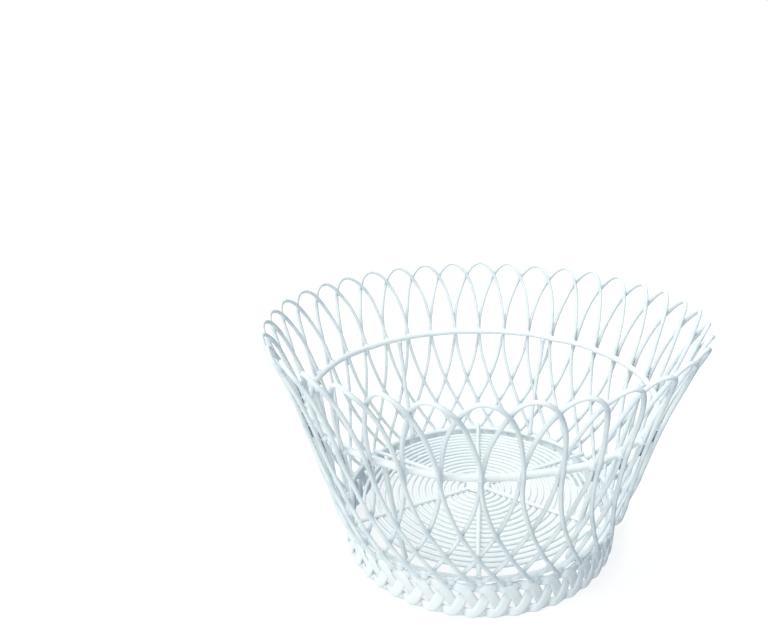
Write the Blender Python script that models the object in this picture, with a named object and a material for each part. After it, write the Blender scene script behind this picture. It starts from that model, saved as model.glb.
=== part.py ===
"""Round wirework basket, metres, +Z up, origin on the table under its centre.

Thirty-six hoops of wire stand side by side and cross each other to make a
lattice wall. A heavier ring and six straight struts stiffen the wall from
inside. The base is a flat spiral of wire under six spokes, inside an edge
ring, and it sits on a foot plaited from three strands.
"""
import math

import bpy
from mathutils import Matrix, Vector

# Clearance left between pieces that touch or are brazed together.
GAP = 0.0003

# Heights of centre lines above the table.
RIM_HEIGHT = 0.1780
RING_HEIGHT = 0.1210
FOOT_HEIGHT = 0.0290

# Upper ring.
RING_RADIUS = 0.1250
RING_WIRE = 0.0048
RING_SIDES = 6
RING_SEGMENTS = 48

# Hoops. RIM_FLARE is how far their tops stand outside the upper ring's centre
# line. Spreads and laps are counted in hoop pitches.
HOOP_COUNT = 36
HOOP_WIRE = 0.0034
HOOP_SIDES = 5
HOOP_STEPS = 7
RIM_FLARE = 0.0254
RIM_ROUNDNESS = 1.5
LAP_AT_APEX = 0.4
LEAN_PER_METRE = 2.4
SPREAD_PER_SQUARE_METRE = 198.0

# Base.
EDGE_RADIUS = 0.1035
EDGE_WIRE = 0.0034
SPIRAL_WIRE = 0.0028
SPIRAL_PITCH = 0.0052
SPIRAL_START = 0.0045
SPIRAL_MARGIN = 0.0050
SPIRAL_SIDES = 4
SPIRAL_SEGMENTS = 18
SPOKE_COUNT = 6
SPOKE_WIRE = 0.0030
SPOKE_FIRST = math.radians(30)
SPOKE_OVERHANG = 0.0013
BOSS_RADIUS = 0.0094
BOSS_THICKNESS = 0.0032
BOSS_BEVEL = 0.0006
BOSS_SIDES = 24

# Struts between the base and the upper ring.
STRUT_WIRE = 0.0034
STRUT_ANGLES = (4, 62, 126, 184, 242, 306)
STRUT_DROP = 0.0030
ROD_SIDES = 6

# Plaited foot. PLAIT_STEP_OUT is how far it stands outside the edge ring, and
# STRAND_EASE is the slack between two strands where they cross. STRAND_EDGE is
# the height of the flats on a strand's edges, as a share of its thickness, and
# CREST_FLATNESS widens the turns at the top and bottom of a strand's wave.
PLAIT_STEP_OUT = 0.0011
PLAIT_FLARE = 0.05
PLAIT_STRANDS = 3
PLAIT_PERIODS = 15
PLAIT_STEPS = 12
STRAND_WIDTH = 0.0076
STRAND_THICKNESS = 0.0024
STRAND_EDGE = 0.3
STRAND_EASE = 0.0036
CREST_FLATNESS = 0.05

# Places that follow from the dimensions above.
EDGE_HEIGHT = FOOT_HEIGHT + GAP + EDGE_WIRE / 2
SPOKE_HEIGHT = EDGE_HEIGHT + EDGE_WIRE / 2 + GAP + SPOKE_WIRE / 2
SPIRAL_HEIGHT = SPOKE_HEIGHT - SPOKE_WIRE / 2 - GAP - SPIRAL_WIRE / 2
LAYER_OFFSET = (HOOP_WIRE + GAP) / 2
WALL_AT_EDGE = EDGE_RADIUS + EDGE_WIRE / 2 + GAP + HOOP_WIRE / 2 + LAYER_OFFSET
WALL_AT_RING = RING_RADIUS + RING_WIRE / 2 + GAP + HOOP_WIRE / 2 + LAYER_OFFSET
HOOP_PITCH = 2 * math.pi / HOOP_COUNT
RIM_RADIUS = RING_RADIUS + RIM_FLARE
PLAIT_RADIUS = EDGE_RADIUS + PLAIT_STEP_OUT
STRAND_LAY = (STRAND_THICKNESS + GAP + STRAND_EASE) / 2

WHITE = (0.84, 0.88, 0.90, 1.0)
SHADE = (0.80, 0.84, 0.87, 1.0)


def clear_scene():
    """Remove the objects that a new file starts with."""
    for item in list(bpy.context.scene.objects):
        bpy.data.objects.remove(item)


def paint(name, colour, roughness):
    """Return a satin white lacquer."""
    material = bpy.data.materials.new(name)
    material.use_nodes = True
    shader = material.node_tree.nodes["Principled BSDF"]
    shader.inputs["Base Color"].default_value = colour
    shader.inputs["Roughness"].default_value = roughness
    shader.inputs["Metallic"].default_value = 0.0
    return material


def add_object(name, mesh, material=None, turn=0.0):
    """Place a mesh, turned about the basket's axis."""
    if material is not None:
        mesh.materials.append(material)
    item = bpy.data.objects.new(name, mesh)
    item.rotation_euler = (0.0, 0.0, turn)
    bpy.context.scene.collection.objects.link(item)
    return item


def skin(name, sections, closed):
    """Join equal polygons, one after another, into a closed body."""
    sides = len(sections[0])
    count = len(sections)
    points = [point for section in sections for point in section]
    faces = []
    for step in range(count if closed else count - 1):
        here = step * sides
        there = (step + 1) % count * sides
        for side in range(sides):
            after = (side + 1) % sides
            faces.append((here + side, here + after, there + after, there + side))
    if not closed:
        faces.append(tuple(reversed(range(sides))))
        faces.append(tuple((count - 1) * sides + side for side in range(sides)))
    mesh = bpy.data.meshes.new(name)
    mesh.from_pydata(points, [], faces)
    mesh.validate()
    mesh.shade_smooth()
    mesh.set_sharp_from_angle(angle=math.radians(75))
    return mesh


def cross_axes(path, closed, level):
    """Return a wire's side and outward axes at each point.

    The side axis is stretched for the mitre. The outward one is square to the
    wire, or horizontal where the wire's edges are to lie level.
    """
    axes = []
    last = len(path) - 1
    for step, point in enumerate(path):
        before = path[step - 1] if closed or step > 0 else None
        after = path[(step + 1) % len(path)] if closed or step < last else None
        arriving = (point - before).normalized() if before else (after - point).normalized()
        leaving = (after - point).normalized() if after else arriving
        outward = Vector((point.x, point.y, 0.0)).normalized()
        beside = outward.cross(arriving).normalized()
        beyond = outward.cross(leaving).normalized()
        side = (beside + beyond).normalized()
        out = outward if level else (arriving + leaving).normalized().cross(side).normalized()
        axes.append((side / math.cos(beside.angle(beyond) / 2), out))
    return axes


def round_section(diameter, sides):
    """Return the corners of a round wire's section."""
    turns = [2 * math.pi * (side + 0.5) / sides for side in range(sides)]
    return [(diameter / 2 * math.cos(turn), diameter / 2 * math.sin(turn)) for turn in turns]


def strand_section():
    """Return a flat strand's section, with narrow flats on its two edges."""
    half = STRAND_WIDTH / 2
    thick = STRAND_THICKNESS / 2
    edge = thick * STRAND_EDGE
    return [(half, -edge), (half, edge), (0.0, thick), (-half, edge), (-half, -edge), (0.0, -thick)]


def sweep(name, path, section, closed=False, level=False):
    """Carry a section along a path."""
    sections = []
    for point, (side, outward) in zip(path, cross_axes(path, closed, level)):
        sections.append([point + side * across + outward * out for across, out in section])
    return skin(name, sections, closed)


def polar(radius, angle, height):
    """Return a point from its radius, angle and height."""
    return Vector((radius * math.cos(angle), radius * math.sin(angle), height))


def wall_radius(height):
    """Radius of the wall's middle: straight up to the ring, then flaring to the rim."""
    level = height - RING_HEIGHT
    slope = (WALL_AT_RING - WALL_AT_EDGE) / (RING_HEIGHT - EDGE_HEIGHT)
    if level < 0.0:
        return WALL_AT_RING + slope * level
    rise = RIM_HEIGHT - RING_HEIGHT
    flare = (RIM_RADIUS - WALL_AT_RING - slope * rise) / rise ** 2
    return WALL_AT_RING + slope * level + flare * level * level


def spread(height):
    """Half the width of a hoop at a height, in hoop pitches: one at the ring."""
    level = height - RING_HEIGHT
    if level > 0.0:
        share = min(level / (RIM_HEIGHT - RING_HEIGHT), 1.0)
        return math.sqrt(1.0 - share ** RIM_ROUNDNESS)
    return 1.0 - LEAN_PER_METRE * level + SPREAD_PER_SQUARE_METRE * level * level


def hoop_layer(width):
    """Offset of a hoop's wire from the wall's middle: inside on one leg, outside on the other."""
    share = max(-1.0, min(1.0, width / LAP_AT_APEX))
    return LAYER_OFFSET * math.sin(share * math.pi / 2)


def hoop_foot():
    """Height of a leg's end, so that its end face clears the plait."""
    return FOOT_HEIGHT + GAP + HOOP_WIRE * 0.4


def hoop_path():
    """Path of one hoop: up its inner leg, over its rounded top and down its outer leg."""
    foot = hoop_foot()
    heights = []
    for step in range(HOOP_STEPS):
        share = step / HOOP_STEPS
        heights.append(foot + (RIM_HEIGHT - foot) * math.sin(share * math.pi / 2) ** 0.9)
    points = []
    for sign, order in ((-1, heights), (1, reversed(heights))):
        for height in order:
            width = sign * spread(height)
            radius = wall_radius(height) + hoop_layer(width)
            points.append(polar(radius, width * HOOP_PITCH, height))
        if sign < 0:
            points.append(polar(RIM_RADIUS, 0.0, RIM_HEIGHT))
    return points


def add_hoops(material):
    """Stand the hoops around the basket."""
    mesh = sweep("hoop", hoop_path(), round_section(HOOP_WIRE, HOOP_SIDES))
    mesh.materials.append(material)
    for number in range(HOOP_COUNT):
        add_object(f"hoop_{number + 1:02d}", mesh, turn=number * HOOP_PITCH)


def add_ring(name, radius, height, wire, material):
    """Add a plain ring of wire."""
    steps = range(RING_SEGMENTS)
    path = [polar(radius, 2 * math.pi * step / RING_SEGMENTS, height) for step in steps]
    add_object(name, sweep(name, path, round_section(wire, RING_SIDES), closed=True), material)


def rod_mesh(name, length, wire):
    """Return a straight rod that runs from the origin along +Z."""
    section = round_section(wire, ROD_SIDES)
    ends = [[Vector((x, y, z)) for x, y in section] for z in (0.0, length)]
    return skin(name, ends, closed=False)


def place_rod(name, start, end, mesh):
    """Lay a rod from one point to another."""
    item = add_object(name, mesh)
    along = (end - start).to_track_quat("Z", "Y").to_matrix().to_4x4()
    item.matrix_world = Matrix.Translation(start) @ along


def add_spokes(material):
    """Lay the spokes on the spiral, from the boss to the edge ring."""
    inner = BOSS_RADIUS + GAP
    outer = EDGE_RADIUS + SPOKE_OVERHANG
    mesh = rod_mesh("spoke", outer - inner, SPOKE_WIRE)
    mesh.materials.append(material)
    for number in range(SPOKE_COUNT):
        angle = SPOKE_FIRST + 2 * math.pi * number / SPOKE_COUNT
        start = polar(inner, angle, SPOKE_HEIGHT)
        place_rod(f"spoke_{number + 1}", start, polar(outer, angle, SPOKE_HEIGHT), mesh)


def add_struts(material):
    """Stand the struts on the edge ring and lean them against the upper ring."""
    reach = (RING_WIRE + STRUT_WIRE) / 2 + GAP
    inset = math.sqrt(reach ** 2 - STRUT_DROP ** 2)
    foot_radius = EDGE_RADIUS - STRUT_WIRE / 4
    foot_height = EDGE_HEIGHT + EDGE_WIRE / 2 + GAP + STRUT_WIRE / 4
    foot = Vector((foot_radius, 0.0, foot_height))
    head = Vector((RING_RADIUS - inset, 0.0, RING_HEIGHT - STRUT_DROP))
    mesh = rod_mesh("strut", (head - foot).length, STRUT_WIRE)
    mesh.materials.append(material)
    for number, degrees in enumerate(STRUT_ANGLES):
        turn = Matrix.Rotation(math.radians(degrees), 3, "Z")
        place_rod(f"strut_{number + 1}", turn @ foot, turn @ head, mesh)


def add_spiral(material):
    """Coil the base's wire outwards, one pitch a turn."""
    end = EDGE_RADIUS - EDGE_WIRE / 2 - SPIRAL_MARGIN - SPIRAL_WIRE / 2
    turns = (end - SPIRAL_START) / SPIRAL_PITCH
    steps = int(turns * SPIRAL_SEGMENTS)
    path = []
    for step in range(steps + 1):
        share = step / SPIRAL_SEGMENTS
        radius = SPIRAL_START + SPIRAL_PITCH * share
        path.append(polar(radius, 2 * math.pi * share, SPIRAL_HEIGHT))
    mesh = sweep("base_spiral", path, round_section(SPIRAL_WIRE, SPIRAL_SIDES))
    add_object("base_spiral", mesh, material)


def add_boss(material):
    """Add the flat disc that joins the spokes, resting on the spiral's first turns."""
    half = BOSS_THICKNESS / 2
    rims = (
        (BOSS_RADIUS - BOSS_BEVEL, -half),
        (BOSS_RADIUS, BOSS_BEVEL - half),
        (BOSS_RADIUS, half - BOSS_BEVEL),
        (BOSS_RADIUS - BOSS_BEVEL, half),
    )
    turns = [2 * math.pi * side / BOSS_SIDES for side in range(BOSS_SIDES)]
    sections = [[polar(radius, turn, height) for turn in turns] for radius, height in rims]
    item = add_object("base_boss", skin("base_boss", sections, closed=False), material)
    item.location = (0.0, 0.0, SPIRAL_HEIGHT + SPIRAL_WIRE / 2 + GAP + half)


def strand_path():
    """Path of one plait strand: a wave up and down the foot that laps twice a period."""
    half_step = math.pi / PLAIT_STEPS
    crest = math.cos(half_step) - CREST_FLATNESS * math.cos(3 * half_step)
    swing = (FOOT_HEIGHT - STRAND_WIDTH) / 2 / crest
    points = []
    for step in range(PLAIT_PERIODS * PLAIT_STEPS):
        phase = 2 * half_step * (step + 0.5)
        wave = math.sin(phase) + CREST_FLATNESS * math.sin(3 * phase)
        height = FOOT_HEIGHT / 2 + swing * wave
        lay = -math.copysign(STRAND_LAY, math.sin(2 * phase))
        radius = PLAIT_RADIUS + PLAIT_FLARE * height + lay
        points.append(polar(radius, phase / PLAIT_PERIODS, height))
    return points


def add_plait(material):
    """Turn one strand into three, each a third of a period further round."""
    mesh = sweep("strand", strand_path(), strand_section(), closed=True, level=True)
    mesh.materials.append(material)
    shift = 2 * math.pi / PLAIT_PERIODS / PLAIT_STRANDS
    for number in range(PLAIT_STRANDS):
        add_object(f"plait_strand_{number + 1}", mesh, turn=number * shift)


def main():
    """Build the basket."""
    clear_scene()
    wall = paint("wall_white", WHITE, 0.38)
    base = paint("base_white", WHITE, 0.42)
    foot = paint("foot_white", SHADE, 0.45)
    add_hoops(wall)
    add_ring("upper_ring", RING_RADIUS, RING_HEIGHT, RING_WIRE, wall)
    add_struts(wall)
    add_ring("base_edge_ring", EDGE_RADIUS, EDGE_HEIGHT, EDGE_WIRE, base)
    add_spiral(base)
    add_spokes(base)
    add_boss(base)
    add_plait(foot)


main()
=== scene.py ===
"""White lacquered wirework basket: lattice wall of crossing hoops, spiral base and plaited foot.

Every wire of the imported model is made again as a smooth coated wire, with the
small pools that a thick coat of lacquer leaves wherever two wires meet.
Lengths are in metres, and the table is at height zero.
"""

import math

import bmesh
import bpy
import numpy as np
from mathutils import Matrix, Vector, noise


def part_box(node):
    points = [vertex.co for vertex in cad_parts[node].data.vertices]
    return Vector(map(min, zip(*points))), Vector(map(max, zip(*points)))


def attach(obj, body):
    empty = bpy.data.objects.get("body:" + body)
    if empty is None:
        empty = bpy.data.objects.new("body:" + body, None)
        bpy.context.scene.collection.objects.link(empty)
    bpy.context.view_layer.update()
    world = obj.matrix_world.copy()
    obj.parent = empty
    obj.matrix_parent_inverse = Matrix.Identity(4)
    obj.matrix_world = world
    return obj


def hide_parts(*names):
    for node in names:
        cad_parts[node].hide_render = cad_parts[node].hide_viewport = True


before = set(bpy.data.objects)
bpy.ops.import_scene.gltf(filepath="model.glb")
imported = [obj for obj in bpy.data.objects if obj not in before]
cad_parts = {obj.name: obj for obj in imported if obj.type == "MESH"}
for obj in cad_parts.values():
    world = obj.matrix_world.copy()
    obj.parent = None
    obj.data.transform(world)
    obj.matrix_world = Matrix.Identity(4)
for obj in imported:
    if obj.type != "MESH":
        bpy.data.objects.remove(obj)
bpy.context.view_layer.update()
BODY = "root"
UP = Vector((0.0, 0.0, 1.0))

# Wire sizes, with their coat.
HOOP_COUNT = 36
HOOP_WIRE = 0.0028
RING_WIRE = 0.0047
EDGE_WIRE = 0.0036
STRUT_WIRE = 0.0035
SPOKE_WIRE = 0.0031
SPIRAL_WIRE = 0.0028

# Base. The spiral starts near the middle and grows one pitch a turn. The
# spokes start under the boss and lap over the ring.
SPIRAL_PITCH = 0.0052
SPIRAL_START = 0.0045
SPIRAL_SEGMENTS = 64
SPIRAL_SIDES = 10
SPOKE_COUNT = 6
SPOKE_START = 0.0085
SPOKE_OVERHANG = 0.0013
SPOKE_SINK = 0.0002
SPOKE_STEPS = 48
BOSS_SIDES = 48
BOSS_CROWN = 0.0005
BOSS_UNDERSIDE = 0.35
BOSS_LEVELS = (0.75, 0.55, 0.35, 0.15, 0.03)

# Shape of the wall. Spreads are counted in hoop pitches. An arch is a half
# ellipse when RIM_ROUNDNESS is two and narrower towards its top when it is
# less, and a hoop passes from the inner layer to the outer one within
# LAP_AT_APEX of its top. RIM_SINK, RIM_INSET and LEG_LIFT are in wire diameters.
RIM_ROUNDNESS = 1.5
LAP_AT_APEX = 0.4
LEAN_PER_METRE = 2.4
SPREAD_PER_SQUARE_METRE = 198.0
LAYER_OFFSET = 0.00172
RIM_SINK = 0.42
RIM_INSET = 0.48
LEG_LIFT = 0.15
LAST_CROSSING = 6
TUCK = 0.0016
TUCK_TOP = 0.0380
ARCH_STEPS = 44
LEG_STEPS = 24
WIRE_SIDES = 12
UPPER_RING_STEPS = 288
UPPER_RING_SIDES = 18
EDGE_RING_STEPS = 240

# Struts. Their ends sink into the two rings, their insets being in wire
# diameters. STRUT_BOW is how far one may bend sideways between them, and
# STRUT_BOW_TURNS makes each bend differently.
STRUT_COUNT = 6
STRUT_STEPS = 40
STRUT_FOOT_INSET = 0.25
STRUT_FOOT_DROP = 0.0004
STRUT_HEAD_INSET = 0.95
STRUT_HEAD_RISE = 0.0006
STRUT_BOW = 0.0006
STRUT_BOW_TURNS = 7.0
STRUT_POOL_REACH = 0.0035
STRUT_POOL_SWELL = 0.35

# Pools of lacquer where two legs cross, as distances between the wires'
# centres, in wire diameters: where the pool's hollow front and its two
# horns end.
POOL_FRONT = 1.10
POOL_HORNS = 1.42
POOL_ROWS = 14
POOL_COLUMNS = 8
POOL_STEP = 0.0004
POOL_SEARCH = 0.03
POOL_FULLNESS = 0.92
CROSSING_REACH = 0.0045
CROSSING_SWELL = 0.04

# How deep the lacquer pools lie, from 0 to 1, over each kind of filler. The same value sets how
# much painted shade, and gloss, each gets.
CROSSING_SHADE = 0.9
DROP_SHADE = 0.7
BOSS_SHADE = 0.1

# Drops of lacquer: half lengths across, out and along. Ring and edge drops
# join the legs to the two rings, a foot drop joins a pair of legs to the
# plait, and a web drop fills the notch between two turns of its strands.
RING_DROP = (0.0027, 0.0024, 0.0031)
EDGE_DROP = (0.0036, 0.0019, 0.0019)
EDGE_DROP_OUT = 0.55
FOOT_DROP = (0.0042, 0.0022, 0.0026)
FOOT_DROP_TUCK = 0.0006
FOOT_DROP_SINK = 0.0006
WEB_DROP = (0.0033, 0.0013, 0.0058)
WEB_DROP_INSET = 0.0036

# Plaited foot. The strands swing up and down once a period, and the foot
# widens upwards by PLAIT_FLARE.
PLAIT_PERIODS = 15
PLAIT_STRANDS = 3
PLAIT_STEPS = 32
PLAIT_STEP_OUT = 0.0011
PLAIT_FLARE = 0.05
STRAND_WIDTH = 0.0073
STRAND_THICKNESS = 0.0023
STRAND_LAY = 0.0009
STRAND_CORNERS = 20
STRAND_GROOVE = 0.10
STRAND_GROOVE_WIDTH = 0.22
STRAND_SQUARENESS = 0.8
CREST_FLATNESS = 0.12
LAP_SHARPNESS = 2.0

# Unevenness that bending by hand leaves. DRIFT_SHIFTS draw three unlike
# noises, one for each axis, from the same one.
WALL_UNEVEN = 0.0014
WALL_UNEVEN_PER_METRE = 34.0
WALL_LEAN = Vector((0.0011, 0.0, 0.0005))
BASE_UNEVEN = 0.0008
BASE_UNEVEN_PER_METRE = 22.0
DRIFT_SHIFTS = (Vector((9.3, -1.5, -8.0)), Vector((0.0, 0.0, 0.0)), Vector((6.3, 2.7, 11.9)))
COAT_UNEVEN = 0.05
COAT_UNEVEN_PER_METRE = 150.0


def box_middle(node):
    """Return the middle of a node's box."""
    low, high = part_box(node)
    return (low + high) / 2


def box_turn(node):
    """Return the angle about the basket's axis at which a node stands."""
    middle = box_middle(node)
    return math.atan2(middle.y, middle.x)


HOOP_PITCH = 2 * math.pi / HOOP_COUNT
HOOP_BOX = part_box("hoop_01")
RIM_HEIGHT = HOOP_BOX[1].z - HOOP_WIRE * RIM_SINK
RIM_RADIUS = HOOP_BOX[1].x - HOOP_WIRE * RIM_INSET
LEG_FOOT = HOOP_BOX[0].z - HOOP_WIRE * LEG_LIFT
RING_HEIGHT = box_middle("upper_ring").z
RING_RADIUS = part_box("upper_ring")[1].x - RING_WIRE / 2
EDGE_HEIGHT = box_middle("base_edge_ring").z
EDGE_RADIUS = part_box("base_edge_ring")[1].x - EDGE_WIRE / 2
SPIRAL_HEIGHT = box_middle("base_spiral").z
SPIRAL_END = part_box("base_spiral")[1].x - SPIRAL_WIRE / 2
FOOT_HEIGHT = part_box("plait_strand_1")[1].z
WALL_AT_EDGE = EDGE_RADIUS + EDGE_WIRE / 2 + HOOP_WIRE / 2 + LAYER_OFFSET
WALL_AT_RING = RING_RADIUS + RING_WIRE / 2 + HOOP_WIRE / 2 + LAYER_OFFSET
PLAIT_RADIUS = EDGE_RADIUS + PLAIT_STEP_OUT


# Shape of the wall and its irregularities.


def polar(radius, angle, height):
    """Return a point from its radius, angle and height."""
    return Vector((radius * math.cos(angle), radius * math.sin(angle), height))


def wall_radius(height):
    """Radius of the wall's middle: straight up to the ring, then flaring to the rim.

    The legs' ends are tucked inwards, on to the plait.
    """
    level = height - RING_HEIGHT
    slope = (WALL_AT_RING - WALL_AT_EDGE) / (RING_HEIGHT - EDGE_HEIGHT)
    if level < 0.0:
        tuck = max(0.0, min(1.0, (TUCK_TOP - height) / (TUCK_TOP - LEG_FOOT)))
        return WALL_AT_RING + slope * level - TUCK * tuck * tuck
    rise = RIM_HEIGHT - RING_HEIGHT
    flare = (RIM_RADIUS - WALL_AT_RING - slope * rise) / rise ** 2
    return WALL_AT_RING + slope * level + flare * level * level


def spread(height):
    """Half the width of a hoop at a height, in hoop pitches: one at the ring."""
    level = height - RING_HEIGHT
    if level > 0.0:
        share = min(level / (RIM_HEIGHT - RING_HEIGHT), 1.0)
        return math.sqrt(1.0 - share ** RIM_ROUNDNESS)
    return 1.0 - LEAN_PER_METRE * level + SPREAD_PER_SQUARE_METRE * level * level


def height_of_spread(width):
    """Height at which a hoop has a given half width."""
    if width < 1.0:
        share = (1.0 - width * width) ** (1.0 / RIM_ROUNDNESS)
        return RING_HEIGHT + share * (RIM_HEIGHT - RING_HEIGHT)
    root = math.sqrt(LEAN_PER_METRE ** 2 + 4 * SPREAD_PER_SQUARE_METRE * (width - 1.0))
    return RING_HEIGHT + (LEAN_PER_METRE - root) / (2 * SPREAD_PER_SQUARE_METRE)


def hoop_layer(width):
    """Offset of a hoop's wire from the wall's middle: inside on one leg, outside on the other."""
    share = max(-1.0, min(1.0, width / LAP_AT_APEX))
    return LAYER_OFFSET * math.sin(share * math.pi / 2)


def leg_point(hoop, side, height):
    """Point on one leg of a hoop, side being -1 for its inner leg and 1 for its outer one."""
    width = side * spread(height)
    radius = wall_radius(height) + hoop_layer(width)
    return polar(radius, (hoop + width) * HOOP_PITCH, height)


def drift(place):
    """Return a vector that wanders smoothly from place to place."""
    return Vector([noise.noise(place + shift) for shift in DRIFT_SHIFTS])


def settle(point):
    """Shift a point of the wall as bending by hand would, most at the rim."""
    share = max(point.z - FOOT_HEIGHT, 0.0) / (RIM_HEIGHT - FOOT_HEIGHT)
    shift = drift(point * WALL_UNEVEN_PER_METRE) * WALL_UNEVEN
    return point + shift * share + WALL_LEAN * share * share


def settle_flat(point):
    """Shift a point of the base a little, in its own plane."""
    shift = drift(point * BASE_UNEVEN_PER_METRE) * BASE_UNEVEN
    shift.z = 0.0
    return point + shift


def coat(point):
    """Thickness of a coated wire at a point, as a share of its nominal size."""
    return 1.0 + COAT_UNEVEN * noise.noise(point * COAT_UNEVEN_PER_METRE)


# Meshes.


class Form:
    """Points and faces of one piece, and at each point a depth from 0 to 1 that sets its painted
    shade and gloss: how deep the lacquer lies there, or on the plait how far the strand lies behind
    its neighbour.
    """

    def __init__(self):
        self.points = []
        self.faces = []
        self.pools = []

    def add(self, points, faces, pools):
        """Add a closed shell."""
        start = len(self.points)
        self.points.extend(tuple(point) for point in points)
        self.faces.extend(tuple(start + corner for corner in face) for face in faces)
        self.pools.extend(pools)

    def grid(self, rows, pools, loop_rows, caps):
        """Add a shell made of equal rows of points, each row a closed loop."""
        sides = len(rows[0])
        count = len(rows)
        faces = []
        for step in range(count if loop_rows else count - 1):
            here = step * sides
            there = (step + 1) % count * sides
            for side in range(sides):
                after = (side + 1) % sides
                faces.append((here + side, here + after, there + after, there + side))
        if caps:
            faces.append(tuple(reversed(range(sides))))
            faces.append(tuple((count - 1) * sides + side for side in range(sides)))
        flat = [point for row in rows for point in row]
        self.add(flat, faces, [pool for pool in pools for _ in range(sides)])


def unit(vectors):
    """Scale each row of an array to length one."""
    return vectors / np.linalg.norm(vectors, axis=1)[:, None]


def directions(path, closed):
    """Direction of a path at each of its points."""
    ahead = np.roll(path, -1, axis=0)
    behind = np.roll(path, 1, axis=0)
    if not closed:
        ahead[-1] = path[-1]
        behind[0] = path[0]
    return unit(ahead - behind)


def cross_axes(path, closed, flat):
    """Side and outward axes of a wire. A flat one lies in the base, where outward is up."""
    along = directions(path, closed)
    outward = np.zeros_like(path)
    if flat:
        outward[:, 2] = 1.0
    else:
        outward[:, :2] = path[:, :2]
    side = unit(np.cross(unit(outward), along))
    return side, np.cross(along, side)


# Dome on a wire's end: the angle of each row of points and its share of the
# wire's radius, and how far the dome stands out for a wire of radius one.
DOME = ((20, 0.94), (45, 0.71), (70, 0.34))
DOME_LENGTH = 0.7


def rounded_ends(path, radii, pools):
    """Lengthen an open wire by a small dome at each end."""
    path, radii, pools = list(path), list(radii), list(pools)
    for end, inner in ((0, 1), (-1, -2)):
        point = path[end]
        along = (point - path[inner]).normalized()
        radius, pool = radii[end], pools[end]
        for degrees, share in DOME:
            tip = point + along * radius * DOME_LENGTH * math.sin(math.radians(degrees))
            place = 0 if end == 0 else len(path)
            path.insert(place, tip)
            radii.insert(place, radius * share)
            pools.insert(place, pool)
    return path, radii, pools


def add_wire(form, path, radii, pools=None, closed=False, flat=False, sides=WIRE_SIDES):
    """Add a round wire along a path."""
    pools = pools or [0.0] * len(path)
    if not closed:
        path, radii, pools = rounded_ends(path, radii, pools)
    centres = np.array([tuple(point) for point in path])
    side, out = cross_axes(centres, closed, flat)
    turns = 2 * math.pi * np.arange(sides) / sides
    thick = np.array(radii)[:, None, None]
    rows = centres[:, None] + thick * (
        np.cos(turns)[None, :, None] * side[:, None] + np.sin(turns)[None, :, None] * out[:, None]
    )
    form.grid(rows, pools, closed, not closed)


def add_drop(form, centre, along, sizes, rounds=12, levels=8):
    """Add an egg-shaped drop of lacquer: sizes are its half lengths across, out and along."""
    out = Vector((centre.x, centre.y, 0.0)).normalized()
    side = along.cross(out).normalized()
    out = side.cross(along).normalized()
    rows = []
    for level in range(1, levels):
        tilt = math.pi * level / levels
        row = []
        for turn in range(rounds):
            angle = 2 * math.pi * turn / rounds
            offset = side * (sizes[0] * math.sin(tilt) * math.cos(angle))
            offset += out * (sizes[1] * math.sin(tilt) * math.sin(angle))
            row.append(centre + offset - along * (sizes[2] * math.cos(tilt)))
        rows.append(row)
    form.grid(rows, [DROP_SHADE] * len(rows), False, True)


def finish_piece(form, name, material, nodes=()):
    """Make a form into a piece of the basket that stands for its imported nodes."""
    mesh = bpy.data.meshes.new(name)
    mesh.from_pydata(form.points, [], form.faces)
    shells = bmesh.new()
    shells.from_mesh(mesh)
    bmesh.ops.recalc_face_normals(shells, faces=shells.faces)
    shells.to_mesh(mesh)
    shells.free()
    mesh.shade_smooth()
    # The painted shade and the gloss follow this depth at each point.
    shade_and_gloss = mesh.attributes.new("shade_and_gloss", "FLOAT", "POINT")
    shade_and_gloss.data.foreach_set("value", np.array(form.pools, np.float32))
    mesh.materials.append(material)
    piece = bpy.data.objects.new(name, mesh)
    bpy.context.scene.collection.objects.link(piece)
    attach(piece, BODY)
    if nodes:
        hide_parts(*nodes)
    return piece


# Hoops and the pools of lacquer at their crossings.


def crossing_heights():
    """Heights at which a hoop's outer leg crosses the inner legs of the hoops beside it."""
    return [height_of_spread(gap / 2) for gap in range(1, LAST_CROSSING + 1)]


def pool_near(height, crossings):
    """How near a height is to a crossing, from 0 to 1."""
    nearest = min(abs(height - crossing) for crossing in crossings)
    return math.exp(-(nearest / CROSSING_REACH) ** 2)


def hoop_line():
    """Signed half widths and heights along a hoop, from one foot over the top to the other."""
    line = []
    for step in range(LEG_STEPS):
        height = LEG_FOOT + (RING_HEIGHT - LEG_FOOT) * step / LEG_STEPS
        line.append((-spread(height), height))
    for step in range(ARCH_STEPS + 1):
        turn = math.pi * (step / ARCH_STEPS - 0.5)
        level = max(math.cos(turn), 0.0) ** (2 / RIM_ROUNDNESS)
        line.append((math.sin(turn), RING_HEIGHT + level * (RIM_HEIGHT - RING_HEIGHT)))
    for step in range(1, LEG_STEPS + 1):
        height = RING_HEIGHT + (LEG_FOOT - RING_HEIGHT) * step / LEG_STEPS
        line.append((spread(height), height))
    return line


def add_hoop(form, hoop):
    """Add one hoop's wire."""
    crossings = crossing_heights()
    path, radii, pools = [], [], []
    for width, height in hoop_line():
        radius = wall_radius(height) + hoop_layer(width)
        point = settle(polar(radius, (hoop + width) * HOOP_PITCH, height))
        pool = pool_near(height, crossings)
        path.append(point)
        radii.append(HOOP_WIRE / 2 * (coat(point) + CROSSING_SWELL * pool))
        pools.append(pool)
    add_wire(form, path, radii, pools)


def pool_reach(hoop, gap, crossing, direction, limit):
    """How far from a crossing the two legs' centres come to be limit apart."""
    reach = 0.0
    while reach < POOL_SEARCH:
        height = crossing + direction * reach
        if not LEG_FOOT < height < RIM_HEIGHT:
            break
        apart = leg_point(hoop, 1, height) - leg_point(hoop + gap, -1, height)
        if apart.length > limit:
            break
        reach += POOL_STEP
    return reach


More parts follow.
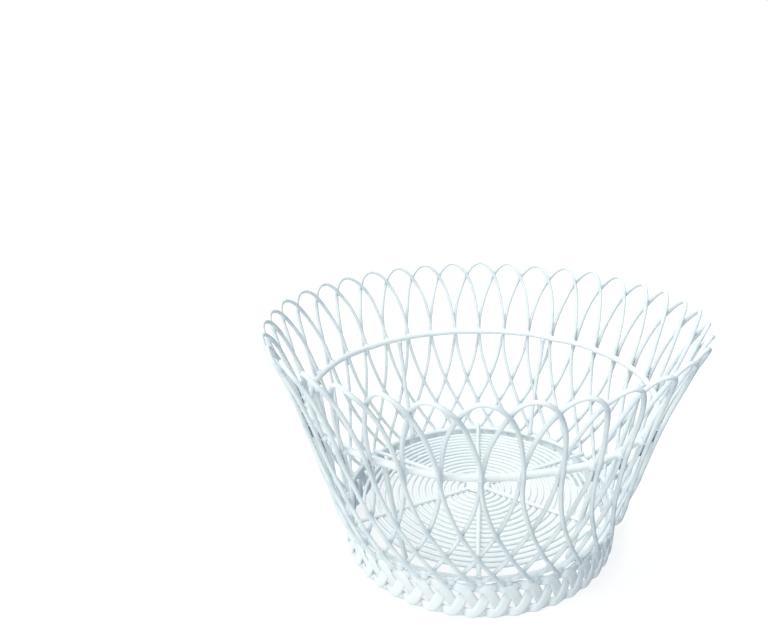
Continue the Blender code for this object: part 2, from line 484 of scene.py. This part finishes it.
def add_crossing_pool(form, hoop, gap, crossing):
    """Add the lacquer that fills the sharp corners above and below a crossing.

    The pool is a skin stretched from one leg's centre to the other's. Its front
    is hollow, so it reaches furthest along the two wires.
    """
    thick = HOOP_WIRE / 2
    reaches = {
        sign: [
            pool_reach(hoop, gap, crossing, sign, HOOP_WIRE * limit)
            for limit in (POOL_FRONT, POOL_HORNS)
        ]
        for sign in (-1, 1)
    }
    rows = []
    for row in range(1, POOL_ROWS):
        level = -math.cos(math.pi * row / POOL_ROWS)
        front, horns = reaches[1 if level > 0 else -1]
        loop = []
        for column in range(2 * POOL_COLUMNS):
            turn = math.pi * (column + 0.5) / POOL_COLUMNS
            across = math.cos(turn)
            height = crossing + level * (front + (horns - front) * across ** 2)
            height = max(LEG_FOOT, min(height, RIM_HEIGHT))
            outer = leg_point(hoop, 1, height)
            inner = leg_point(hoop + gap, -1, height)
            middle = (outer + inner) / 2
            chord = (outer - inner) / 2
            normal = chord.cross(UP).normalized()
            bulge = thick * POOL_FULLNESS * math.sin(turn) * math.sqrt(1.0 - level * level)
            loop.append(settle(middle + chord * across + normal * bulge))
        rows.append(loop)
    form.grid(rows, [CROSSING_SHADE] * len(rows), False, True)


def add_hoops(material):
    """Make the hoops, each with the pools along its outer leg.

    The last crossing is at the feet, where a drop joins the legs to the plait.
    """
    for hoop in range(HOOP_COUNT):
        form = Form()
        add_hoop(form, hoop)
        for gap, crossing in enumerate(crossing_heights()[:-1], 1):
            add_crossing_pool(form, hoop, gap, crossing)
        turn = (hoop + LAST_CROSSING / 2) * HOOP_PITCH
        foot = polar(wall_radius(LEG_FOOT) - FOOT_DROP_TUCK, turn, LEG_FOOT - FOOT_DROP_SINK)
        add_drop(form, foot, UP, FOOT_DROP)
        number = f"{hoop + 1:02d}"
        finish_piece(form, f"coated_hoop_{number}", material, (f"hoop_{number}",))


# Ring, struts and base.


def circle(radius, height, steps, shift):
    """Points of a level ring."""
    turns = [2 * math.pi * step / steps for step in range(steps)]
    return [shift(polar(radius, turn, height)) for turn in turns]


def add_upper_ring(material):
    """Make the ring inside the wall, with a drop of lacquer at each pair of legs."""
    form = Form()
    path = circle(RING_RADIUS, RING_HEIGHT, UPPER_RING_STEPS, settle)
    radii = [RING_WIRE / 2 * coat(point) for point in path]
    add_wire(form, path, radii, closed=True, sides=UPPER_RING_SIDES)
    reach = (RING_RADIUS + WALL_AT_RING) / 2
    for hoop in range(HOOP_COUNT):
        centre = settle(polar(reach, (hoop + 1) * HOOP_PITCH, RING_HEIGHT))
        add_drop(form, centre, UP, RING_DROP)
    finish_piece(form, "coated_upper_ring", material, ("upper_ring",))


def add_struts(material):
    """Make the six struts, thicker where lacquer has gathered at their ends."""
    for number in range(1, STRUT_COUNT + 1):
        node = f"strut_{number}"
        turn = box_turn(node)
        low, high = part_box(node)
        foot_radius = EDGE_RADIUS - STRUT_WIRE * STRUT_FOOT_INSET
        head_radius = RING_RADIUS - STRUT_WIRE * STRUT_HEAD_INSET
        foot = polar(foot_radius, turn, low.z - STRUT_FOOT_DROP)
        head = polar(head_radius, turn, high.z + STRUT_HEAD_RISE)
        path, radii, pools = [], [], []
        for step in range(STRUT_STEPS + 1):
            share = step / STRUT_STEPS
            point = foot.lerp(head, share)
            ends = min(share, 1.0 - share) * (head - foot).length
            pool = math.exp(-(ends / STRUT_POOL_REACH) ** 2)
            bow = STRUT_BOW * math.sin(math.pi * share) * math.sin(STRUT_BOW_TURNS * turn)
            path.append(settle(point + polar(bow, turn + math.pi / 2, 0.0)))
            radii.append(STRUT_WIRE / 2 * (coat(point) + STRUT_POOL_SWELL * pool))
            pools.append(pool)
        form = Form()
        add_wire(form, path, radii, pools)
        finish_piece(form, f"coated_{node}", material, (node,))


def add_edge_ring(material):
    """Make the ring round the base."""
    form = Form()
    path = circle(EDGE_RADIUS, EDGE_HEIGHT, EDGE_RING_STEPS, settle_flat)
    radii = [EDGE_WIRE / 2 * coat(point) for point in path]
    add_wire(form, path, radii, closed=True, flat=True)
    for hoop in range(HOOP_COUNT):
        reach = EDGE_RADIUS + EDGE_WIRE * EDGE_DROP_OUT
        centre = polar(reach, hoop * HOOP_PITCH, EDGE_HEIGHT)
        add_drop(form, centre, UP, EDGE_DROP)
    finish_piece(form, "coated_edge_ring", material, ("base_edge_ring",))


def add_spiral(material):
    """Make the base's spiral."""
    form = Form()
    turns = (SPIRAL_END - SPIRAL_START) / SPIRAL_PITCH
    steps = int(turns * SPIRAL_SEGMENTS)
    path = []
    for step in range(steps + 1):
        share = step / SPIRAL_SEGMENTS
        radius = SPIRAL_START + SPIRAL_PITCH * share
        path.append(settle_flat(polar(radius, 2 * math.pi * share, SPIRAL_HEIGHT)))
    radii = [SPIRAL_WIRE / 2 * coat(point) for point in path]
    add_wire(form, path, radii, flat=True, sides=SPIRAL_SIDES)
    finish_piece(form, "coated_base_spiral", material, ("base_spiral",))


def add_spokes(material):
    """Make the six spokes over the spiral."""
    reach = EDGE_RADIUS + SPOKE_OVERHANG - SPOKE_START
    for number in range(1, SPOKE_COUNT + 1):
        node = f"spoke_{number}"
        turn = box_turn(node)
        height = box_middle(node).z - SPOKE_SINK
        path = []
        for step in range(SPOKE_STEPS + 1):
            radius = SPOKE_START + reach * step / SPOKE_STEPS
            path.append(settle_flat(polar(radius, turn, height)))
        form = Form()
        add_wire(form, path, [SPOKE_WIRE / 2 * coat(point) for point in path], flat=True)
        finish_piece(form, f"coated_{node}", material, (node,))


def add_boss(material):
    """Turn the disc at the middle of the base: a low dome with a rounded rim."""
    low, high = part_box("base_boss")
    radius = high.x
    rim = (high.z - low.z) / 2
    profile = [(radius * BOSS_UNDERSIDE, low.z), (radius - rim, low.z)]
    for degrees in range(-75, 90, 15):
        tilt = math.radians(degrees)
        profile.append((radius - rim + rim * math.cos(tilt), low.z + rim + rim * math.sin(tilt)))
    for share in BOSS_LEVELS:
        dome = BOSS_CROWN * math.cos(share * math.pi / 2)
        profile.append((radius * share, high.z + dome))
    turns = [2 * math.pi * side / BOSS_SIDES for side in range(BOSS_SIDES)]
    form = Form()
    rows = [[polar(reach, turn, height) for turn in turns] for reach, height in profile]
    form.grid(rows, [BOSS_SHADE] * len(rows), False, True)
    finish_piece(form, "coated_boss", material, ("base_boss",))


# Plaited foot.


def squared(value):
    """Push a sine or cosine outwards, which turns a round section into a squarer one."""
    return math.copysign(abs(value) ** STRAND_SQUARENESS, value)


def strand_section():
    """Corners of a strand: two wires side by side, the groove between them nearly filled."""
    corners = []
    for corner in range(STRAND_CORNERS):
        turn = 2 * math.pi * corner / STRAND_CORNERS
        across = squared(math.cos(turn))
        groove = 1.0 - STRAND_GROOVE * math.exp(-(across / STRAND_GROOVE_WIDTH) ** 2)
        out = squared(math.sin(turn)) * groove
        corners.append((across * STRAND_WIDTH / 2, out * STRAND_THICKNESS / 2))
    return corners


def strand_path(shift):
    """Path of one strand: a wave up and down the foot that laps in and out twice a period."""
    swing = (FOOT_HEIGHT - STRAND_WIDTH) / 2 / (1.0 - CREST_FLATNESS)
    path, laps = [], []
    for step in range(PLAIT_PERIODS * PLAIT_STEPS):
        phase = 2 * math.pi * step / PLAIT_STEPS
        turn = phase / PLAIT_PERIODS + shift
        wave = math.sin(phase) + CREST_FLATNESS * math.sin(3 * phase)
        height = FOOT_HEIGHT / 2 + swing * wave
        lap = -math.tanh(LAP_SHARPNESS * math.sin(2 * phase)) / math.tanh(LAP_SHARPNESS)
        path.append(polar(PLAIT_RADIUS + PLAIT_FLARE * height + STRAND_LAY * lap, turn, height))
        # How far the strand lies behind its neighbour, which sets its painted shade.
        laps.append(max(0.0, -lap))
    return path, laps


def add_webs(form, shift):
    """Fill the notches beside a strand's turns, at the foot's top and bottom edges."""
    crest = 2 * math.pi / PLAIT_STRANDS
    for period in range(PLAIT_PERIODS):
        for peak, height in ((-0.25, WEB_DROP_INSET), (0.25, FOOT_HEIGHT - WEB_DROP_INSET)):
            phase = 2 * math.pi * (period + peak) + crest / 2
            turn = phase / PLAIT_PERIODS + shift
            centre = polar(PLAIT_RADIUS + PLAIT_FLARE * height, turn, height)
            along = Vector((-math.sin(turn), math.cos(turn), 0.0))
            add_drop(form, centre, along, WEB_DROP)


def add_plait(material):
    """Make the three strands of the foot."""
    section = strand_section()
    for number in range(PLAIT_STRANDS):
        shift = 2 * math.pi / PLAIT_PERIODS / PLAIT_STRANDS * number
        path, laps = strand_path(shift)
        centres = np.array([tuple(point) for point in path])
        along = directions(centres, True)
        outward = unit(centres * np.array([1.0, 1.0, 0.0]))
        side = unit(np.cross(outward, along))
        rows = []
        for centre, across, out in zip(centres, side, outward):
            rows.append([centre + across * wide + out * deep for wide, deep in section])
        form = Form()
        # Painted shade follows how far each point lies behind the next strand.
        form.grid(rows, laps, True, False)
        add_webs(form, shift)
        node = f"plait_strand_{number + 1}"
        finish_piece(form, f"coated_{node}", material, (node,))


# Finishes.


def make_group(name, inputs, outputs):
    """Start a node group with named inputs and outputs."""
    group = bpy.data.node_groups.new(name, "ShaderNodeTree")
    for label, kind, value in inputs:
        socket = group.interface.new_socket(label, in_out="INPUT", socket_type=kind)
        socket.default_value = value
    for label, kind in outputs:
        group.interface.new_socket(label, in_out="OUTPUT", socket_type=kind)
    entry = group.nodes.new("NodeGroupInput")
    exit_node = group.nodes.new("NodeGroupOutput")
    return group, entry, exit_node


def add_node(tree, kind, values=None, **settings):
    """Add a node, with its settings and the values of its inputs."""
    node = tree.nodes.new(kind)
    for key, value in settings.items():
        setattr(node, key, value)
    for key, value in (values or {}).items():
        node.inputs[key].default_value = value
    return node


FLOAT, COLOUR = "NodeSocketFloat", "NodeSocketColor"


def make_mottle():
    """Group: lacquer's colour, drifting between two close tones."""
    inputs = (
        ("Light Tone", COLOUR, (0.8, 0.8, 0.8, 1.0)),
        ("Deep Tone", COLOUR, (0.7, 0.7, 0.7, 1.0)),
        ("Patches per Metre", FLOAT, 40.0),
        ("Cloud Detail", FLOAT, 3.0),
    )
    group, entry, leave = make_group("lacquer_mottle", inputs, (("Colour", COLOUR),))
    links = group.links
    place = add_node(group, "ShaderNodeTexCoord")
    cloud = add_node(group, "ShaderNodeTexNoise", {"Roughness": 0.6})
    spots = add_node(group, "ShaderNodeMapRange", {"From Min": 0.35, "From Max": 0.65})
    tone = add_node(group, "ShaderNodeMix", data_type="RGBA")
    links.new(place.outputs["Object"], cloud.inputs["Vector"])
    links.new(entry.outputs["Patches per Metre"], cloud.inputs["Scale"])
    links.new(entry.outputs["Cloud Detail"], cloud.inputs["Detail"])
    links.new(cloud.outputs["Fac"], spots.inputs["Value"])
    links.new(spots.outputs["Result"], tone.inputs["Factor"])
    links.new(entry.outputs["Light Tone"], tone.inputs["A"])
    links.new(entry.outputs["Deep Tone"], tone.inputs["B"])
    links.new(tone.outputs["Result"], leave.inputs["Colour"])
    return group


def make_skin():
    """Group: height of the lacquer's fine orange peel and of its broader runs."""
    inputs = (
        ("Peel per Metre", FLOAT, 900.0),
        ("Peel Share", FLOAT, 0.35),
        ("Runs per Metre", FLOAT, 160.0),
    )
    group, entry, leave = make_group("lacquer_skin", inputs, (("Height", FLOAT),))
    links = group.links
    place = add_node(group, "ShaderNodeTexCoord")
    peel = add_node(group, "ShaderNodeTexNoise", {"Detail": 2.0, "Roughness": 0.5})
    runs = add_node(group, "ShaderNodeTexNoise", {"Detail": 1.0, "Roughness": 0.4})
    both = add_node(group, "ShaderNodeMix", data_type="FLOAT")
    links.new(place.outputs["Object"], peel.inputs["Vector"])
    links.new(place.outputs["Object"], runs.inputs["Vector"])
    links.new(entry.outputs["Peel per Metre"], peel.inputs["Scale"])
    links.new(entry.outputs["Runs per Metre"], runs.inputs["Scale"])
    links.new(entry.outputs["Peel Share"], both.inputs["Factor"])
    links.new(runs.outputs["Fac"], both.inputs["A"])
    links.new(peel.outputs["Fac"], both.inputs["B"])
    links.new(both.outputs["Result"], leave.inputs["Height"])
    return group


def make_painted_shade():
    """Group: painted shade, a colour that turns to a darker, bluer tone where the mask marks a
    crevice, at lacquer pools between wires or where a strand lies behind its neighbour.
    """
    inputs = (
        ("Colour", COLOUR, (0.8, 0.8, 0.8, 1.0)),
        ("Painted Shade Tone", COLOUR, (0.6, 0.65, 0.7, 1.0)),
        ("Strength", FLOAT, 0.5),
        ("Ragged per Metre", FLOAT, 300.0),
    )
    outputs = (("Colour", COLOUR), ("Mask", FLOAT))
    group, entry, leave = make_group("lacquer_painted_shade", inputs, outputs)
    links = group.links
    place = add_node(group, "ShaderNodeTexCoord")
    # Painted shade follows this mask, the depth of lacquer or of a strand's lap at each point.
    shade_and_gloss = add_node(group, "ShaderNodeAttribute", attribute_name="shade_and_gloss")
    ragged = add_node(group, "ShaderNodeTexNoise", {"Detail": 2.0})
    torn = add_node(group, "ShaderNodeMapRange", {"From Min": 0.3, "From Max": 0.7, "To Min": 0.55})
    mask = add_node(group, "ShaderNodeMath", operation="MULTIPLY")
    amount = add_node(group, "ShaderNodeMath", operation="MULTIPLY", use_clamp=True)
    tone = add_node(group, "ShaderNodeMix", data_type="RGBA")
    links.new(place.outputs["Object"], ragged.inputs["Vector"])
    links.new(entry.outputs["Ragged per Metre"], ragged.inputs["Scale"])
    links.new(ragged.outputs["Fac"], torn.inputs["Value"])
    links.new(shade_and_gloss.outputs["Fac"], mask.inputs[0])
    links.new(torn.outputs["Result"], mask.inputs[1])
    links.new(mask.outputs["Value"], amount.inputs[0])
    links.new(entry.outputs["Strength"], amount.inputs[1])
    links.new(amount.outputs["Value"], tone.inputs["Factor"])
    links.new(entry.outputs["Colour"], tone.inputs["A"])
    links.new(entry.outputs["Painted Shade Tone"], tone.inputs["B"])
    links.new(tone.outputs["Result"], leave.inputs["Colour"])
    links.new(mask.outputs["Value"], leave.inputs["Mask"])
    return group


def make_sheen():
    """Group: roughness that drifts between a glossier and a duller value."""
    inputs = (
        ("Glossy", FLOAT, 0.3),
        ("Dull", FLOAT, 0.45),
        ("Patches per Metre", FLOAT, 90.0),
        ("Pool Mask", FLOAT, 0.0),
    )
    group, entry, leave = make_group("lacquer_sheen", inputs, (("Roughness", FLOAT),))
    links = group.links
    place = add_node(group, "ShaderNodeTexCoord")
    cloud = add_node(group, "ShaderNodeTexNoise", {"Detail": 2.0})
    patches = add_node(group, "ShaderNodeMapRange", {"From Min": 0.3, "From Max": 0.7})
    wet = add_node(group, "ShaderNodeMath", {1: 0.6}, operation="MULTIPLY")
    dry = add_node(group, "ShaderNodeMath", operation="SUBTRACT", use_clamp=True)
    value = add_node(group, "ShaderNodeMix", data_type="FLOAT")
    links.new(place.outputs["Object"], cloud.inputs["Vector"])
    links.new(entry.outputs["Patches per Metre"], cloud.inputs["Scale"])
    links.new(cloud.outputs["Fac"], patches.inputs["Value"])
    links.new(entry.outputs["Pool Mask"], wet.inputs[0])
    links.new(patches.outputs["Result"], dry.inputs[0])
    links.new(wet.outputs["Value"], dry.inputs[1])
    links.new(dry.outputs["Value"], value.inputs["Factor"])
    links.new(entry.outputs["Glossy"], value.inputs["A"])
    links.new(entry.outputs["Dull"], value.inputs["B"])
    links.new(value.outputs["Result"], leave.inputs["Roughness"])
    return group


def place_group(tree, group, values):
    """Place a node group in a material, with this material's values."""
    node = add_node(tree, "ShaderNodeGroup", node_tree=group)
    for label, value in values.items():
        node.inputs[label].default_value = value
    return node


def lacquer(name, groups, mottle, painted_shade, sheen, skin, depth, coat_weight):
    """Make a lacquer from the shared groups, its skin's relief being depth deep."""
    material = bpy.data.materials.new(name)
    material.use_nodes = True
    tree = material.node_tree
    links = tree.links
    shader = tree.nodes["Principled BSDF"]
    shader.inputs["Metallic"].default_value = 0.0
    shader.inputs["IOR"].default_value = 1.5
    shader.inputs["Coat Weight"].default_value = coat_weight
    shader.inputs["Coat Roughness"].default_value = 0.22
    tone = place_group(tree, groups["mottle"], mottle)
    # Painted shade: a darker, bluer tone where the piece's depth mask is high.
    pool = place_group(tree, groups["painted_shade"], painted_shade)
    rough = place_group(tree, groups["sheen"], sheen)
    relief = place_group(tree, groups["skin"], skin)
    bump = add_node(tree, "ShaderNodeBump", {"Strength": 1.0, "Distance": depth})
    links.new(tone.outputs["Colour"], pool.inputs["Colour"])
    links.new(pool.outputs["Colour"], shader.inputs["Base Color"])
    links.new(pool.outputs["Mask"], rough.inputs["Pool Mask"])
    links.new(rough.outputs["Roughness"], shader.inputs["Roughness"])
    links.new(relief.outputs["Height"], bump.inputs["Height"])
    links.new(bump.outputs["Normal"], shader.inputs["Normal"])
    return material


def wall_lacquer(groups):
    """Satin white on the hoops and struts."""
    return lacquer(
        "wall_lacquer",
        groups,
        {"Light Tone": (0.86, 0.905, 0.91, 1.0), "Deep Tone": (0.80, 0.86, 0.87, 1.0)},
        # Painted shade: a darker, bluer tone at the crossings, drops and strut ends, where lacquer
        # pools.
        {"Painted Shade Tone": (0.52, 0.62, 0.69, 1.0), "Strength": 0.55},
        {"Glossy": 0.28, "Dull": 0.42},
        {"Peel Share": 0.3},
        depth=0.0006,
        coat_weight=0.25,
    )


def ring_lacquer(groups):
    """Thicker, brighter white on the ring."""
    return lacquer(
        "ring_lacquer",
        groups,
        {"Light Tone": (0.90, 0.935, 0.94, 1.0), "Deep Tone": (0.85, 0.89, 0.90, 1.0)},
        # Painted shade: a darker, bluer tone on the drops that join the legs to the ring.
        {"Painted Shade Tone": (0.55, 0.65, 0.71, 1.0), "Strength": 0.4},
        {"Glossy": 0.26, "Dull": 0.38},
        {"Peel Share": 0.25, "Runs per Metre": 110.0},
        depth=0.0007,
        coat_weight=0.3,
    )


def base_lacquer(groups):
    """White on the base's spiral, spokes, disc and ring, a little duller."""
    return lacquer(
        "base_lacquer",
        groups,
        {"Light Tone": (0.87, 0.915, 0.92, 1.0), "Deep Tone": (0.81, 0.87, 0.88, 1.0)},
        # Painted shade: a darker, bluer tone on the edge ring's drops, faint over the boss.
        {"Painted Shade Tone": (0.52, 0.62, 0.69, 1.0), "Strength": 0.5},
        {"Glossy": 0.32, "Dull": 0.48, "Patches per Metre": 60.0},
        {"Peel Share": 0.35},
        depth=0.0006,
        coat_weight=0.2,
    )


def foot_lacquer(groups):
    """Thick white over the plait, with painted shade where a strand dips behind its neighbour."""
    return lacquer(
        "foot_lacquer",
        groups,
        {"Light Tone": (0.87, 0.91, 0.92, 1.0), "Deep Tone": (0.81, 0.87, 0.88, 1.0)},
        # Painted shade: a darker, bluer tone where a strand lies behind its neighbour and on the
        # web drops.
        {"Painted Shade Tone": (0.54, 0.63, 0.70, 1.0), "Strength": 0.5},
        {"Glossy": 0.3, "Dull": 0.42, "Patches per Metre": 70.0},
        {"Peel Share": 0.3, "Runs per Metre": 120.0},
        depth=0.0008,
        coat_weight=0.3,
    )


def floor_finish(groups):
    """Pale translucent table, lit from within so that shadows on it stay faint."""
    material = bpy.data.materials.new("pale_table")
    material.use_nodes = True
    tree = material.node_tree
    shader = tree.nodes["Principled BSDF"]
    shader.inputs["Roughness"].default_value = 0.8
    shader.inputs["Specular IOR Level"].default_value = 0.1
    shader.inputs["Emission Color"].default_value = (1.0, 1.0, 1.0, 1.0)
    shader.inputs["Emission Strength"].default_value = FLOOR_GLOW
    values = {
        "Light Tone": (0.31, 0.31, 0.312, 1.0),
        "Deep Tone": (0.29, 0.29, 0.295, 1.0),
        "Patches per Metre": 8.0,
    }
    tone = place_group(tree, groups["mottle"], values)
    tree.links.new(tone.outputs["Colour"], shader.inputs["Base Color"])
    return material


# Stage, light and camera.

# DARK_CARD points to the dim, bluish side of the sky, and CARD_EDGE is how its
# edge fades, as cosines of the angle from there.
FLOOR_HALF = 12.0
FLOOR_GLOW = 0.74
SKY_COLOUR = (0.93, 0.975, 0.985, 1.0)
SKY_STRENGTH = 1.0
CARD_COLOUR = (0.50, 0.68, 0.94, 1.0)
CARD_STRENGTH = 0.26
DARK_CARD = (0.86, 0.38, -0.34)
CARD_EDGE = {"From Min": 0.2, "From Max": 0.8}
SUN_STRENGTH = 1.2
SUN_SOFTNESS = 20.0
SUN_AZIMUTH = 215.0
SUN_ELEVATION = 60.0
SUN_COLOUR = (1.0, 0.995, 0.98)


def add_floor(material):
    """Lay a wide pale floor that takes shadows but throws no light back."""
    signs = ((-1, -1), (1, -1), (1, 1), (-1, 1))
    corners = [(FLOOR_HALF * x, FLOOR_HALF * y, 0.0) for x, y in signs]
    mesh = bpy.data.meshes.new("floor")
    mesh.from_pydata(corners, [], [(0, 1, 2, 3)])
    mesh.materials.append(material)
    floor = bpy.data.objects.new("floor", mesh)
    bpy.context.scene.collection.objects.link(floor)
    floor.visible_diffuse = False
    floor.visible_glossy = False


def add_sky():
    """Surround the scene with a white that lights it evenly, but dimly from one side."""
    world = bpy.data.worlds.new("studio")
    bpy.context.scene.world = world
    world.use_nodes = True
    tree = world.node_tree
    links = tree.links
    sky = tree.nodes["Background"]
    white = add_node(tree, "ShaderNodeBackground", {"Color": (1.0, 1.0, 1.0, 1.0), "Strength": 1.0})
    rays = add_node(tree, "ShaderNodeLightPath")
    pick = add_node(tree, "ShaderNodeMixShader")
    towards = add_node(tree, "ShaderNodeTexCoord")
    card = add_node(tree, "ShaderNodeVectorMath", {1: DARK_CARD}, operation="DOT_PRODUCT")
    fades = {"To Min": SKY_STRENGTH, "To Max": CARD_STRENGTH, **CARD_EDGE}
    edge = add_node(tree, "ShaderNodeMapRange", fades, interpolation_type="SMOOTHSTEP")
    tint = add_node(tree, "ShaderNodeMapRange", CARD_EDGE, interpolation_type="SMOOTHSTEP")
    colour = add_node(tree, "ShaderNodeMix", {"A": SKY_COLOUR, "B": CARD_COLOUR}, data_type="RGBA")
    links.new(towards.outputs["Generated"], card.inputs[0])
    links.new(card.outputs["Value"], edge.inputs["Value"])
    links.new(card.outputs["Value"], tint.inputs["Value"])
    links.new(tint.outputs["Result"], colour.inputs["Factor"])
    links.new(colour.outputs["Result"], sky.inputs["Color"])
    links.new(edge.outputs["Result"], sky.inputs["Strength"])
    links.new(rays.outputs["Is Camera Ray"], pick.inputs["Fac"])
    links.new(sky.outputs["Background"], pick.inputs[1])
    links.new(white.outputs["Background"], pick.inputs[2])
    links.new(pick.outputs["Shader"], tree.nodes["World Output"].inputs["Surface"])


def add_sun():
    """Add a broad soft light. Azimuth is counted from +X towards +Y."""
    light = bpy.data.lights.new("top_light", "SUN")
    light.energy = SUN_STRENGTH
    light.angle = math.radians(SUN_SOFTNESS)
    light.color = SUN_COLOUR
    lamp = bpy.data.objects.new("top_light", light)
    bpy.context.scene.collection.objects.link(lamp)
    rise = math.radians(SUN_ELEVATION)
    towards = polar(math.cos(rise), math.radians(SUN_AZIMUTH), math.sin(rise))
    lamp.rotation_mode = "QUATERNION"
    lamp.rotation_quaternion = towards.to_track_quat("Z", "Y")


def add_lights():
    """Light from above, in front and a little to the left."""
    add_sky()
    add_sun()


# Camera. Angles are in radians, the lens is in millimetres, and the shift is a
# share of the sensor's width. CAMERA_TURN swings it about the basket's axis.
CAMERA_BACK = 0.42142
CAMERA_HEIGHT = 0.30981
CAMERA_PITCH = 0.39811
CAMERA_YAW = -0.06899
CAMERA_ROLL = -0.01529
CAMERA_TURN = -0.00923
CAMERA_LENS = 29.043
CAMERA_SHIFT = (-0.0729, 0.0749)


def add_camera():
    """Stand the camera in front of the basket, looking down into it."""
    data = bpy.data.cameras.new("camera")
    data.sensor_width = 36.0
    data.lens = CAMERA_LENS
    data.shift_x, data.shift_y = CAMERA_SHIFT
    camera = bpy.data.objects.new("camera", data)
    bpy.context.scene.collection.objects.link(camera)
    yaw = CAMERA_YAW
    ahead = Vector((math.sin(yaw), math.cos(yaw), 0.0)) * math.cos(CAMERA_PITCH)
    ahead.z = -math.sin(CAMERA_PITCH)
    right = Vector((math.cos(yaw), -math.sin(yaw), 0.0))
    up = right.cross(ahead)
    turned_right = right * math.cos(CAMERA_ROLL) + up * math.sin(CAMERA_ROLL)
    turned_up = up * math.cos(CAMERA_ROLL) - right * math.sin(CAMERA_ROLL)
    axes = Matrix((turned_right, turned_up, -ahead)).transposed().to_4x4()
    place = Matrix.Translation((0.0, -CAMERA_BACK, CAMERA_HEIGHT)) @ axes
    camera.matrix_world = Matrix.Rotation(CAMERA_TURN, 4, "Z") @ place
    bpy.context.scene.camera = camera


def main():
    """Dress the basket, then set the stage."""
    groups = {
        "mottle": make_mottle(),
        "painted_shade": make_painted_shade(),
        "sheen": make_sheen(),
        "skin": make_skin(),
    }
    wall = wall_lacquer(groups)
    base = base_lacquer(groups)
    add_hoops(wall)
    add_upper_ring(ring_lacquer(groups))
    add_struts(wall)
    add_edge_ring(base)
    add_spiral(base)
    add_spokes(base)
    add_boss(base)
    add_plait(foot_lacquer(groups))
    add_floor(floor_finish(groups))
    add_lights()
    add_camera()
    bpy.context.scene.view_settings.view_transform = "Standard"


main()
